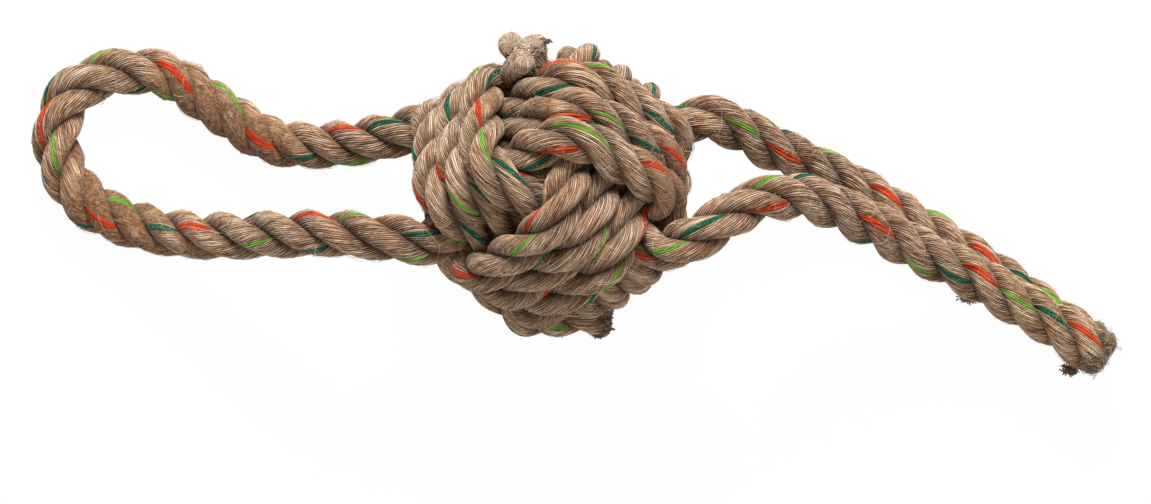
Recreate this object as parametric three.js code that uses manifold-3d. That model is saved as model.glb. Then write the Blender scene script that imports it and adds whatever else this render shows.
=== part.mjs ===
// Rope dog toy: a monkey's fist wound round a drilled core, on a doubled handle rope.
import * as THREE from 'three';
import { mergeVertices } from 'three/addons/utils/BufferGeometryUtils.js';
import Module from 'manifold-3d';

const wasm = await Module();
wasm.setup();

// Driving dimensions in millimetres
const ropeDiameter = 12;
const woundDiameter = 8.8;
const turnGap = 0.85;
const coreGap = 0.5;
const fitGap = 0.3;
const leastTurnGap = 0.4;
const footCut = woundDiameter / 10;

// Counts
const turnsPerBand = 3;
const bands = 3;
const stepsPerTurn = 24;
const woundSides = 6;
const ropeSides = 10;
const loopSteps = 34;
const tailSteps = 17;
const legSteps = 14;
const coreSides = 28;
const coreRings = 18;
const samplesPerTurn = 150;

// How the fist lies: three square axes evenly round the upright, then tilted, in degrees
const bandAzimuths = [148.3, 268.3, 28.3];
const tiltAngle = 8.8;
const tiltAzimuth = 153;

// Sizes that follow from the driving ones
const turnPitch = woundDiameter + turnGap;
const woundRadius = woundDiameter / 2;
const ropeRadius = ropeDiameter / 2;

// A band's turn is a rounded rectangle, in shares of the pitch: its wide way passes over the
// next band and its narrow way under the last one
const underHalfShare = (turnsPerBand + 1) / 2;
const outerHalfShare = underHalfShare + 1;
const cornerShare = 1;
const coreRadius = underHalfShare * turnPitch - woundRadius - coreGap;

// The fist rope's two ends, and its way from one band into the next, in shares of the pitch
const startEndShares = [[3, 1.94, 1.93], [2.42, 1.99, 1.17]];
const turnoverShares = [[2.85, 1.55, -2.05], [2.3, 2.05, -2.2], [1.8, 2.1, -2.15], [1.35, 1.9, -2.05]];
const finishEndShares = [[3.06, 1.65, -1.79], [3.05, 2.29, -1.61], [2.9, 2.82, -1.25], [2.62, 3.39, -1.05],
  [2.33, 3.97, -0.87]];

// The handle rope's two legs from side to side of the fist, in shares of the pitch
const upperLegShares = [[-2.15, -2.15, 2.15], [-1.35, -1.35, 1.35], [-0.7, -0.85, 0.7], [0, -0.65, 0],
  [0.7, -0.85, -0.7], [1.42, -1.42, -1.42]];
const lowerLegShares = [[2.15, 2.15, -2.15], [1.35, 1.35, -1.35], [0.7, 0.85, -0.7], [0, 0.65, 0],
  [-0.7, 0.85, 0.7], [-1.35, 1.35, 1.35], [-2.15, 2.15, 2.15]];

// The free stretches of the handle rope as it lies: x and y from under the ball's centre, z from the floor
const upperTailPoints = [[142.5, -43.2, 6.1], [129, -34.1, 6.1], [114.2, -23.2, 6.1], [103.2, -16.1, 6.1],
  [94.3, -10.8, 6.2], [84.6, -4.6, 6.8], [75.9, 0.2, 9], [68.4, 3.7, 12.5], [60.9, 7.1, 17],
  [54.4, 10.4, 21.2], [47.5, 14.3, 25.2], [40.3, 16.8, 28.6]];
const loopPoints = [[-35, 14.4, 22.8], [-45.7, 12.1, 16.9], [-58.7, 10.3, 10], [-74.3, 11.3, 6.3], [-89.4, 20.5, 6],
  [-101.6, 28.4, 6], [-113.4, 29.5, 6], [-123.9, 26.2, 6], [-129.6, 19.5, 6], [-130.9, 11.4, 6],
  [-129.1, 3.6, 6], [-122.9, -4.7, 6.2], [-116.1, -8.6, 7], [-108.1, -11.3, 9.4], [-99, -12.9, 14],
  [-86, -13.6, 23.5], [-70.4, -13.2, 34.5], [-56.1, -13, 43.5], [-43.1, -14.2, 48.5]];
const lowerTailPoints = [[34, -15.2, 59.9], [40.9, -11.2, 60.2], [47.5, -6.8, 57.3], [54.4, -4.2, 52.6],
  [62.2, -3.5, 46.6], [68.7, -4.9, 42], [76.5, -8.2, 36.6], [84.3, -11.7, 31.4], [92.3, -16.3, 26.4],
  [100.3, -20.1, 22.4], [108.3, -23.9, 19.8], [116.3, -28.5, 18.7], [124.3, -33.3, 18.5], [131.6, -37.7, 18.5],
  [143.6, -46.2, 18.5]];

// Looks
const hempColour = '#a98a6c';
const endColour = '#c2aa88';
const coreColour = '#7d4a2c';
const ropeLook = (colour) => new THREE.MeshStandardMaterial({ color: colour, roughness: 0.9, metalness: 0 });

// Places in the fist's own frame, from shares along its three axes
function fistAxes() {
  const lean = Math.acos(1 / Math.sqrt(bands));
  const towards = THREE.MathUtils.degToRad(tiltAzimuth);
  const tiltAxis = new THREE.Vector3(-Math.sin(towards), Math.cos(towards), 0);
  return bandAzimuths.map((azimuth) => {
    const turned = THREE.MathUtils.degToRad(azimuth);
    return new THREE.Vector3(Math.cos(turned), Math.sin(turned), 0).multiplyScalar(Math.sin(lean))
      .setZ(Math.cos(lean)).applyAxisAngle(tiltAxis, THREE.MathUtils.degToRad(tiltAngle));
  });
}
const axes = fistAxes();

function place(shares) {
  const point = new THREE.Vector3();
  shares.forEach((share, i) => point.addScaledVector(axes[i], share * turnPitch));
  return point;
}

// One turn seen along its band: a rounded rectangle that starts past its first corner
function turnOutline() {
  const a = outerHalfShare - cornerShare;
  const b = underHalfShare - cornerShare;
  const quarter = Math.PI / 2;
  const outline = new THREE.Path();
  outline.moveTo(a, underHalfShare);
  outline.lineTo(-a, underHalfShare);
  outline.absarc(-a, b, cornerShare, quarter, 2 * quarter);
  outline.lineTo(-outerHalfShare, -b);
  outline.absarc(-a, -b, cornerShare, 2 * quarter, 3 * quarter);
  outline.lineTo(a, -underHalfShare);
  outline.absarc(a, -b, cornerShare, 3 * quarter, 4 * quarter);
  outline.lineTo(outerHalfShare, b);
  outline.absarc(a, b, cornerShare, 0, quarter);
  return outline;
}

// A band's turns lie side by side. Each moves over to the next place on its last wide way,
// from corner to corner, and the last turn leaves before its last corner
function bandShares() {
  const outline = turnOutline();
  const perimeter = outline.getLength();
  const corner = cornerShare * Math.PI / 2;
  const shiftPart = (2 * corner + 2 * (underHalfShare - cornerShare)) / perimeter;
  const lastTravel = turnsPerBand - corner / perimeter;
  const steps = stepsPerTurn * turnsPerBand;
  const shares = [];
  for (let i = 0; i <= steps; i++) {
    const travel = lastTravel * i / steps;
    const turn = Math.min(Math.floor(travel), turnsPerBand - 1);
    const along = travel - turn;
    const [u, v] = outline.getPoint(along).toArray();
    const shift = Math.max(0, (along - 1 + shiftPart) / shiftPart);
    shares.push([u, v, (turnsPerBand - 1) / 2 - turn - shift]);
  }
  return shares;
}

// The whole way of the fist rope: each band starts in the corner pocket where the last one ends
function fistRoute() {
  const band = bandShares();
  const pocket = [1, -1, 1];
  const route = [];
  for (let k = 0; k < bands; k++) {
    const order = [k, (k + 1) % bands, (k + 2) % bands];
    const first = k === 0 ? startEndShares : [];
    const last = k === bands - 1 ? finishEndShares : turnoverShares;
    const turns = band.slice(k === 0 ? 0 : 1);
    for (const local of [...first, ...turns, ...last]) {
      const shares = [0, 0, 0];
      order.forEach((axis, i) => { shares[axis] = local[i] * pocket[axis]; });
      route.push(place(shares));
    }
    pocket[order[2]] *= -1;
  }
  return new THREE.CatmullRomCurve3(route);
}

// Least gap of a wound rope to itself, between points further apart along it than its bend
function leastGap(curve, samples, diameter) {
  const points = curve.getSpacedPoints(samples);
  const step = curve.getLength() / samples;
  const skip = Math.ceil(2 * diameter / step);
  let least = Infinity;
  for (let i = 0; i < points.length; i++) {
    for (let j = i + skip; j < points.length; j++) {
      least = Math.min(least, points[i].distanceTo(points[j]));
    }
  }
  return least - diameter;
}

// A stretch of a longer curve between two of its points, shortened a little at either end
class Stretch extends THREE.Curve {
  constructor(whole, from, to, trimFrom, trimTo) {
    super();
    this.whole = whole;
    const lengths = whole.getLengths();
    const perPoint = (lengths.length - 1) / (whole.points.length - 1);
    this.total = whole.getLength();
    this.start = lengths[Math.round(from * perPoint)] + trimFrom;
    this.end = lengths[Math.round(to * perPoint)] - trimTo;
  }

  getPoint(t, target = new THREE.Vector3()) {
    return this.whole.getPointAt((this.start + (this.end - this.start) * t) / this.total, target);
  }
}

// A tube along a curve, from a round section with few sides
function tube(curve, radius, sides, steps) {
  const section = new THREE.Shape();
  for (let i = 0; i < sides; i++) {
    const angle = 2 * Math.PI * i / sides;
    const corner = [radius * Math.cos(angle), radius * Math.sin(angle)];
    if (i === 0) section.moveTo(...corner);
    else section.lineTo(...corner);
  }
  section.closePath();
  return new THREE.ExtrudeGeometry(section, { steps, extrudePath: curve, bevelEnabled: false });
}

// Between a geometry and a solid that can be cut
function solidOf(geometry) {
  const bare = geometry.clone();
  bare.deleteAttribute('normal');
  bare.deleteAttribute('uv');
  const merged = mergeVertices(bare);
  return new wasm.Manifold(new wasm.Mesh({
    numProp: 3,
    vertProperties: new Float32Array(merged.attributes.position.array),
    triVerts: new Uint32Array(merged.index.array),
  }));
}

function geometryOf(solid) {
  const mesh = solid.getMesh();
  const geometry = new THREE.BufferGeometry();
  geometry.setAttribute('position', new THREE.BufferAttribute(mesh.vertProperties, mesh.numProp));
  geometry.setIndex(new THREE.BufferAttribute(mesh.triVerts, 1));
  geometry.computeVertexNormals();
  return geometry;
}

function largestOf(solid) {
  const bodies = solid.decompose();
  bodies.sort((a, b) => b.volume() - a.volume());
  return bodies[0];
}

// Fist rope: nine turns in one unbroken length, flat under its foot
const fistCurve = fistRoute();
const fistSteps = Math.round(fistCurve.getLength() / turnOutline().getLength() / turnPitch * stepsPerTurn);
const selfGap = leastGap(fistCurve, samplesPerTurn * turnsPerBand * bands, woundDiameter);
console.log(`fist rope ${fistCurve.getLength().toFixed(0)} mm long, least gap to itself ${selfGap.toFixed(2)} mm`);
console.assert(selfGap > leastTurnGap, 'the turns lie too close');

const fistTube = tube(fistCurve, woundRadius, woundSides, fistSteps);
fistTube.computeBoundingBox();
const fistBox = fistTube.boundingBox;
const centreHeight = -fistBox.min.z - footCut;
const boxCentre = fistBox.getCenter(new THREE.Vector3());

const cutterWidth = turnPitch * outerHalfShare * 2;
const floorCutter = new THREE.BoxGeometry(cutterWidth, cutterWidth, turnPitch);
floorCutter.translate(0, 0, -centreHeight - turnPitch / 2);
const fistGeometry = geometryOf(solidOf(fistTube).subtract(solidOf(floorCutter)));

// Handle rope: one length from cut end to cut end, with its points raised to the fist's own height
const onFloor = (points) => points.map(([x, y, z]) => new THREE.Vector3(x, y, z - centreHeight));
const handleParts = [
  onFloor(upperTailPoints), upperLegShares.map(place), onFloor(loopPoints),
  lowerLegShares.map(place), onFloor(lowerTailPoints),
];
const handleCurve = new THREE.CatmullRomCurve3(handleParts.flat());
handleCurve.arcLengthDivisions = samplesPerTurn * (handleCurve.points.length - 1);
const firstOf = handleParts.map((part, i) => handleParts.slice(0, i).flat().length);
const lastOf = handleParts.map((part, i) => firstOf[i] + part.length - 1);

const upperTailCurve = new Stretch(handleCurve, 0, firstOf[1], 0, fitGap);
const upperLegCurve = new Stretch(handleCurve, firstOf[1], lastOf[1], 0, 0);
const loopCurve = new Stretch(handleCurve, firstOf[2], firstOf[3], 0, fitGap);
const lowerLegCurve = new Stretch(handleCurve, firstOf[3], lastOf[3], 0, 0);
const lowerTailCurve = new Stretch(handleCurve, lastOf[3], lastOf[4], fitGap, 0);

// The hidden legs are squeezed to the wound size, and grooved where the turns press into them
const fistClearance = solidOf(tube(fistCurve, woundRadius + fitGap, woundSides, fistSteps));
function legSolid(curve) {
  return largestOf(solidOf(tube(curve, woundRadius, ropeSides, legSteps)).subtract(fistClearance));
}

// Core: a ball that fills the fist, drilled for the two legs
function coreSolid() {
  const ball = new THREE.SphereGeometry(coreRadius, coreSides, coreRings);
  const channel = (curve) => solidOf(tube(curve, woundRadius + fitGap, ropeSides, legSteps));
  return solidOf(ball).subtract(channel(upperLegCurve)).subtract(channel(lowerLegCurve));
}

const toy = new THREE.Group();
toy.position.set(-boxCentre.x, -boxCentre.y, centreHeight);

function addPiece(name, geometry, colour) {
  const piece = new THREE.Mesh(geometry, ropeLook(colour));
  piece.name = name;
  toy.add(piece);
}

addPiece('fist_rope', fistGeometry, hempColour);
addPiece('core', geometryOf(coreSolid()), coreColour);
addPiece('upper_leg', geometryOf(legSolid(upperLegCurve)), endColour);
addPiece('lower_leg', geometryOf(legSolid(lowerLegCurve)), endColour);
addPiece('handle_loop', tube(loopCurve, ropeRadius, ropeSides, loopSteps), hempColour);
addPiece('upper_tail', tube(upperTailCurve, ropeRadius, ropeSides, tailSteps), hempColour);
addPiece('lower_tail', tube(lowerTailCurve, ropeRadius, ropeSides, tailSteps), hempColour);

const model = new THREE.Group();
model.add(toy);

export default model;
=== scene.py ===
# Rope dog toy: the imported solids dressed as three-strand hemp rope with coloured marker yarns
import math

import bpy
import numpy as np
from mathutils import Matrix, Vector


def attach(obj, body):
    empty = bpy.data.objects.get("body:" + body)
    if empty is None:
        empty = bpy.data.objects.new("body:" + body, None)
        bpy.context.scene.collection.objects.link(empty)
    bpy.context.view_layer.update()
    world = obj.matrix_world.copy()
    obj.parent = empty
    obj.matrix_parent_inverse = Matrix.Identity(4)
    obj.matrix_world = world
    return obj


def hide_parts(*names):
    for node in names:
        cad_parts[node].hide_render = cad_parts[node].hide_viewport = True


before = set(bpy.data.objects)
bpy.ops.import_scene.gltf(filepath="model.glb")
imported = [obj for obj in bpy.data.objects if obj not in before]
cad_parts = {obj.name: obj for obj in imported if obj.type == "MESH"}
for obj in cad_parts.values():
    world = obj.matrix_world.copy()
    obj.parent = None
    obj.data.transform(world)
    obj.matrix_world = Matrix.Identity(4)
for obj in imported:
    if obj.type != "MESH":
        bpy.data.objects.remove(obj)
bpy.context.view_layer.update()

MM = 0.001
TURN = 2 * math.pi

# The rope's thickness: where it is free, round the ball, and in the ball's middle
ROPE = 12 * MM
WOUND = 11.5 * MM
LEG = 9.4 * MM

# The handle rope as it lies: its free lengths, the loop's bend and just past it, and where it enters the
# ball. At a cut end it splays over some length, is cut back a little, and is matted at its tip
FREE = 1.02 * ROPE
BENT = 1.07 * ROPE
PAST_BEND = 1.03 * ROPE
MOUTH = 10.6 * MM
SPLAYED = 1.1 * ROPE
SPLAY = 14 * MM
CUT_INSET = 0.2 * MM
TAIL_TIP = 1.08 * ROPE

# The ball rope's ends: the stub that stands out at the top, and the cut end at the bottom
STUB = 8 * MM
STUB_INSET = 0.8 * MM
STUB_THICKNESS = 13.2 * MM
STUB_TIP = 12.4 * MM
WOUND_END = 11.6 * MM

# A strand: how far out it lies and how thick it is, in shares of the rope's thickness, the lengths and
# size of the waves it swells in, how far apart its rings are, and how far a cut one is rounded off
STRANDS = 3
STRAND_OFFSET = 0.262
STRAND_RADIUS = 0.246
STRAND_SWELL = (17 * MM, 41 * MM), 0.035
RING_PITCH = 1.0 * MM
BLUNT = 3 * MM

# Its spun yarns: how high each stands and how much painted shade it takes from column to column, darkest
# in the groove between yarns, its size, and the lengths and size of the waves it swells and drifts in
PLAIN_YARNS = 28
PLIES = 2
YARNS = PLAIN_YARNS + PLIES
YARN_CROWN = (-1.0, -0.25, 0.0, -0.25)
YARN_GROOVE = (1.0, 0.62, 0.0, 0.62)
YARN_COLUMNS = len(YARN_CROWN)
COLUMNS = YARN_COLUMNS * YARNS
YARN_WIDTH = 0.7 * MM
YARN_DEPTH = 0.4 * MM
PLY_RISE = 0.08 * MM
YARN_SWELL = (9 * MM, 23 * MM), 0.12 * MM
YARN_DRIFT = (14 * MM, 37 * MM), 0.05
COLOURED_WIDTHS = {"orange": 2.4 * MM, "green": 1.9 * MM, "lime": 1.5 * MM}

# The painted shade in the groove between strands: how far out it begins, as a share of the rope's
# thickness, how it darkens with depth, and how far felt fills it
OUTSIDE = 0.507
GROOVE_START = 0.12
GROOVE_SLOPE = 2.4
FELT_FILLS = 0.8

# How the handle rope is laid, as the photo shows it: mm from the upper tail's cut end, and turns of its
# strands there. Below it, how far a strand's yarns have turned in it, where its coloured yarn comes up.
HANDLE_TURNS = [(0, -0.05), (6, 0.1), (26, 0.75), (46, 1.35), (66, 2), (86, 2.6), (106, 3.1), (126, 3.65),
                (206, 5.55), (226, 6.1), (246, 6.75), (266, 7.55), (286, 8.35), (306, 8.85), (326, 9.4),
                (346, 10.1), (366, 10.75), (386, 11.25), (406, 11.7), (424, 12.2), (514, 14.35),
                (534, 14.95), (554, 15.45), (574, 16), (594, 16.55), (614, 17.1), (634, 17.7), (650, 18.2),
                (656, 18.35)]
HANDLE_YARNS = {
    "orange": [(8, -0.6), (40, -2.1), (68, -3.95), (101, -5.95), (230, -13.1), (251, -14.9), (276, -16.85),
               (320, -19.1), (349, -21.2), (375, -22.95), (545, -32.05), (580, -33.95), (614, -35.9),
               (646, -37.9)],
    "green": [(28, -1.05), (56, -3.45), (101, -6.1), (130, -7.8), (217, -12.1), (249, -14.6), (270, -15.5),
              (300, -17.5), (335, -19.5), (365, -22.05), (413, -25), (443, -27), (557, -33.85),
              (579, -35.1), (609, -37.05), (637, -38.95)],
    "lime": [(18, -1.05), (44, -2.5), (88, -5.1), (116, -7.05), (264, -14.9), (283, -16), (296, -17),
             (328, -19.15), (350, -21), (397, -24.05), (424, -25.9), (441, -27.15), (547, -33.95),
             (569, -35.2), (600, -37.1), (628, -39), (654, -40.85)]}

# The same for the ball's rope, from its end at the top
BALL_TURNS = [(0, 0.25), (13, 0.55), (165, 4.65), (354, 10.1), (492, 14.1), (616, 17.9), (634, 18.35),
              (775, 22.25), (812, 23.3), (865, 24.85), (1141, 32.5), (1176, 33.6), (1328, 37.8),
              (1487, 42.25), (1539, 43.8), (1624, 46.15)]
BALL_YARNS = {
    "orange": [(3, 0.5), (166, -11.05), (274, -18.5), (307, -20.5), (343, -22.5), (450, -29.5),
               (517, -33.5), (590, -38.5), (634, -41.2), (776, -50), (786, -51), (814, -52.5),
               (987, -63.5), (1141, -73.5), (1175, -74.9), (1353, -86.15), (1487, -94.85), (1526, -97.85),
               (1630, -104.5)],
    "lime": [(13, -1), (153, -9.95), (332, -21.5), (504, -32.5), (623, -40), (688, -44.5), (809, -52),
             (974, -62.5), (1158, -74.5), (1191, -76.5), (1342, -86), (1374, -88.5), (1487, -96.5),
             (1521, -97.9)],
    "green": [(4, -0.5), (145, -9.1), (185, -11.2), (317, -19.85), (354, -22.15), (492, -31), (528, -33.5),
              (611, -38.5), (648, -40.5), (790, -49.5), (820, -51), (962, -60.5), (999, -62.5),
              (1150, -72.1), (1177, -73.85), (1328, -83.95), (1362, -86.5), (1509, -95.5), (1539, -97.05)]}

# Where the fibres are rubbed up into felt: x and y from under the ball's centre, z from the floor,
# and the reach, in mm. The spot at -128, 9 is partly painted shade: its felt darkens the loop's low-lit
# bend.
FELT_AND_SHADE_SPOTS = [(-100, 24, 8, 10), (-94, 20, 8, 10), (-87, 14, 8, 11), (-80, 10, 8, 11), (-73, 7, 8, 10),
          (-128, 9, 6, 7), (-123, -3, 7, 9), (-120, -8, 7, 11), (-113, -11, 8, 12), (-105, -15, 12, 10),
          (-94, -17, 18, 9), (29, 3, 56, 12), (33, 0, 40, 13), (-15, 25, 58, 8), (-6, 22, 66, 8),
          (136, -46, 14, 9), (126, -42, 14, 8), (112, -34, 14, 6), (20, -33, 50, 9), (0, -36, 40, 10),
          (-22, -26, 44, 8)]

# Where the ball's centre is, and how its three square axes lie, in degrees
BALL = np.array([1.091, -0.122, 38.726]) * MM
BAND_AZIMUTHS = (148.3, 268.3, 28.3)
TILT_ANGLE, TILT_AZIMUTH = 8.8, 153

# Three bands of three turns, at their pitch. The ends, the turnovers and the legs are in shares of it
BANDS = 3
TURNS = 3
PITCH = 9.65 * MM
START_END = [(3, 1.94, 1.93), (2.42, 1.99, 1.17)]
TURNOVER = [(2.85, 1.55, -2.05), (2.3, 2.05, -2.2), (1.8, 2.1, -2.15), (1.35, 1.9, -2.05)]
FINISH_END = [(3.06, 1.65, -1.79), (3.05, 2.29, -1.61), (2.9, 2.82, -1.25), (2.62, 3.39, -1.05),
              (2.33, 3.97, -0.87)]
UPPER_LEG = [(-2.15, -2.15, 2.15), (-1.35, -1.35, 1.35), (-0.7, -0.85, 0.7), (0, -0.65, 0),
             (0.7, -0.85, -0.7), (1.42, -1.42, -1.42)]
LOWER_LEG = [(2.15, 2.15, -2.15), (1.35, 1.35, -1.35), (0.7, 0.85, -0.7), (0, 0.65, 0),
             (-0.7, 0.85, 0.7), (-1.35, 1.35, 1.35), (-2.15, 2.15, 2.15)]

# The free stretches as they lie: x and y from under the ball's centre, z from the floor, in mm
UPPER_TAIL = [(142.5, -43.2, 6.1), (129, -34.1, 6.1), (114.2, -23.2, 6.1), (103.2, -16.1, 6.1),
              (94.3, -10.8, 6.2), (84.6, -4.6, 6.8), (75.9, 0.2, 9), (68.4, 3.7, 12.5), (60.9, 7.1, 17),
              (54.4, 10.4, 21.2), (47.5, 14.3, 25.2), (40.3, 16.8, 28.6)]
LOOP = [(-35, 14.4, 22.8), (-45.7, 12.1, 16.9), (-58.7, 10.3, 10), (-74.3, 11.3, 6.3), (-89.4, 20.5, 6),
        (-101.6, 28.4, 6), (-113.4, 29.5, 6), (-123.9, 26.2, 6), (-129.6, 19.5, 6), (-130.9, 11.4, 6),
        (-129.1, 3.6, 6), (-122.9, -4.7, 6.2), (-116.1, -8.6, 7), (-108.1, -11.3, 9.4), (-99, -12.9, 14),
        (-86, -13.6, 23.5), (-70.4, -13.2, 34.5), (-56.1, -13, 43.5), (-43.1, -14.2, 48.5)]
LOWER_TAIL = [(34, -15.2, 59.9), (40.9, -11.2, 60.2), (47.5, -6.8, 57.3), (54.4, -4.2, 52.6),
              (62.2, -3.5, 46.6), (68.7, -4.9, 42), (76.5, -8.2, 36.6), (84.3, -11.7, 31.4),
              (92.3, -16.3, 26.4), (100.3, -20.1, 22.4), (108.3, -23.9, 19.8), (116.3, -28.5, 18.7),
              (124.3, -33.3, 18.5), (131.6, -37.7, 18.5), (143.6, -46.2, 18.5)]


# The rope's ways

def spline(points, steps):
    """Dense points on a smooth line through the given ones."""
    p = np.asarray(points, float)
    p = np.vstack([2 * p[0] - p[1], p, 2 * p[-1] - p[-2]])
    t = np.linspace(0, 1, steps, endpoint=False)[:, None]
    spans = []
    for a, b, c, d in zip(p, p[1:], p[2:], p[3:]):
        ab, bc, cd = (math.sqrt(np.linalg.norm(v - u)) for u, v in ((a, b), (b, c), (c, d)))
        start = ((b - a) / ab - (c - a) / (ab + bc) + (c - b) / bc) * bc
        end = ((c - b) / bc - (d - b) / (bc + cd) + (d - c) / cd) * bc
        spans.append(b + start * t + (3 * (c - b) - 2 * start - end) * t ** 2
                     + (2 * (b - c) + start + end) * t ** 3)
    return np.vstack(spans + [p[-2][None, :]])


def unit(v):
    """Directions of length 1."""
    return v / np.maximum(np.linalg.norm(v, axis=-1, keepdims=True), 1e-12)


class Way:
    """A rope's middle line, with two sideways directions that are carried along it without twist."""

    def __init__(self, points, steps=24, pitch=0.25 * MM):
        dense = spline(points, steps)
        lengths = np.concatenate([[0], np.cumsum(np.linalg.norm(np.diff(dense, axis=0), axis=1))])
        self.marks = lengths[::steps]
        self.length = lengths[-1]
        self.s = np.linspace(0, self.length, int(self.length / pitch) + 1)
        self.middle = np.stack([np.interp(self.s, lengths, dense[:, i]) for i in range(3)], axis=1)
        self.forward = unit(np.gradient(self.middle, axis=0))
        side = np.empty_like(self.forward)
        last = np.array([0.0, 0.0, 1.0])
        for i, ahead in enumerate(self.forward):
            last = last - ahead * (last @ ahead)
            last = last / math.sqrt(last @ last)
            side[i] = last
        self.side = side

    def at(self, s):
        """The middle, the heading and the two sideways directions at places along the way."""
        s = np.asarray(s, float)
        rows = [np.stack([np.interp(s, self.s, line[:, i]) for i in range(3)], axis=-1)
                for line in (self.middle, self.forward, self.side)]
        middle, forward, side = rows[0], unit(rows[1]), rows[2]
        middle = middle + forward * (s - np.clip(s, 0, self.length))[..., None]
        side = unit(side - forward * np.sum(side * forward, axis=-1, keepdims=True))
        return middle, forward, side, np.cross(forward, side)


def ball_axes():
    """Three square axes, standing like a cube's edges round its upper corner, and then tilted."""
    lean = math.acos(1 / math.sqrt(3))
    towards = math.radians(TILT_AZIMUTH)
    tilt_axis = Vector((-math.sin(towards), math.cos(towards), 0))
    tilt = Matrix.Rotation(math.radians(TILT_ANGLE), 3, tilt_axis)
    axes = []
    for azimuth in map(math.radians, BAND_AZIMUTHS):
        flat = math.sin(lean)
        axes.append(tilt @ Vector((math.cos(azimuth) * flat, math.sin(azimuth) * flat, math.cos(lean))))
    return np.array(axes)


AXES = ball_axes()


def in_ball(shares):
    """A place in the ball, from shares of the turns' pitch along its three axes."""
    return BALL + np.asarray(shares, float) @ AXES * PITCH


def turn_point(distance):
    """A place on one turn, a rounded rectangle 6 by 4 with corners of radius 1, in shares of the pitch."""
    quarter = math.pi / 2
    # Where each side starts, which way it runs, how long it is, and the centre of the corner after it
    sides = [((2, 2), (-1, 0), 4, (-2, 1)), ((-3, 1), (0, -1), 2, (-2, -1)),
             ((-2, -2), (1, 0), 4, (2, -1)), ((3, -1), (0, 1), 2, (2, 1))]
    for number, (start, heading, length, corner) in enumerate(sides):
        if distance <= length:
            return start[0] + heading[0] * distance, start[1] + heading[1] * distance
        distance -= length
        if distance <= quarter:
            angle = (number + 1) % 4 * quarter + distance
            return corner[0] + math.cos(angle), corner[1] + math.sin(angle)
        distance -= quarter
    return sides[0][0]


def band_shares(steps=72):
    """Three turns side by side. Each moves over to the next place on its last wide way, from corner to
    corner, and the last turn leaves before its last corner."""
    # Four straight sides and four quarter corners, of which the wide way is two corners and a side
    perimeter = 12 + TURN
    shift_part = (math.pi + 2) / perimeter
    travels = (TURNS - math.pi / 2 / perimeter) * np.arange(steps + 1) / steps
    shares = []
    for travel in travels:
        turn = min(int(travel), TURNS - 1)
        along = travel - turn
        shift = max(0, (along - 1 + shift_part) / shift_part)
        shares.append((*turn_point(along * perimeter), 1 - turn - shift))
    return shares


def ball_points():
    """The whole winding: three bands of turns at right angles, with the turnovers between them."""
    band = band_shares()
    signs = [1, -1, 1]
    route = []
    for k in range(BANDS):
        order = [k, (k + 1) % BANDS, (k + 2) % BANDS]
        start = START_END + band[:1] if k == 0 else []
        finish = FINISH_END if k == BANDS - 1 else TURNOVER
        # A turnover's last place stands for the next band's first
        for local in start + band[1:] + finish:
            shares = [0, 0, 0]
            for axis, share in zip(order, local):
                shares[axis] = share * signs[axis]
            route.append(in_ball(shares))
        signs[order[2]] *= -1
    return np.array(route)


def lying(places):
    """Places in metres, from x and y from under the ball's centre and z from the floor, in mm."""
    return np.asarray(places, float) * MM + [BALL[0], BALL[1], 0]


handle_parts = [lying(UPPER_TAIL), [in_ball(p) for p in UPPER_LEG], lying(LOOP),
                [in_ball(p) for p in LOWER_LEG], lying(LOWER_TAIL)]
handle = Way([p for part in handle_parts for p in part])
ball = Way(ball_points())
FIRST = np.cumsum([0] + [len(part) for part in handle_parts[:-1]])
UPPER_TAIL_ENDS = (0, handle.marks[FIRST[1]])
UPPER_LEG_ENDS = (handle.marks[FIRST[1]], handle.marks[FIRST[2] - 1])
LOOP_ENDS = (handle.marks[FIRST[2]], handle.marks[FIRST[3]])
LOWER_LEG_ENDS = (handle.marks[FIRST[3]], handle.marks[FIRST[4] - 1])
LOWER_TAIL_ENDS = (handle.marks[FIRST[4] - 1], handle.length)


# Shader nodes

def add(tree, kind, inputs=(), **settings):
    """A new node with its own settings. Each named input gets its value, or an output linked to it."""
    node = tree.nodes.new(kind)
    for name, value in settings.items():
        setattr(node, name, value)
    for label, value in dict(inputs).items():
        if isinstance(value, bpy.types.NodeSocket):
            tree.links.new(value, node.inputs[label])
        else:
            node.inputs[label].default_value = value
    return node


def maths(tree, operation, a, b=0, clamp=False):
    """A sum, a product or the like of two values."""
    return add(tree, "ShaderNodeMath", {0: a, 1: b}, operation=operation, use_clamp=clamp).outputs[0]


def noise(tree, place, scale, detail=2.0, roughness=0.5):
    """A value that changes smoothly and at random from place to place."""
    return add(tree, "ShaderNodeTexNoise", {
        "Vector": place, "Scale": scale, "Detail": detail, "Roughness": roughness}).outputs["Fac"]


def ranged(tree, value, low, high):
    """How far a value is from low to high: 0 at low and 1 at high."""
    return add(tree, "ShaderNodeMapRange", {
        "Value": value, "From Min": low, "From Max": high}).outputs[0]


def emptied(owner):
    """The node tree of a new world or material, with nothing in it."""
    owner.use_nodes = True
    owner.node_tree.nodes.clear()
    return owner.node_tree


# Camera and stage

# The camera looks straight down from far away, a little below the ball's centre in the picture
LENS = 360.9
SENSOR = 36
CAMERA_HEIGHT = 3.03
VIEW_MIDDLE = (5.15 * MM, -17.81 * MM)

camera_data = bpy.data.cameras.new("camera")
camera_data.sensor_width = SENSOR
camera_data.lens = LENS
camera_data.clip_end = 20
camera = bpy.data.objects.new("camera", camera_data)
camera.location = (BALL[0] + VIEW_MIDDLE[0], BALL[1] + VIEW_MIDDLE[1], CAMERA_HEIGHT)
bpy.context.scene.collection.objects.link(camera)
bpy.context.scene.camera = camera
bpy.context.scene.view_settings.view_transform = "Standard"


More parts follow.
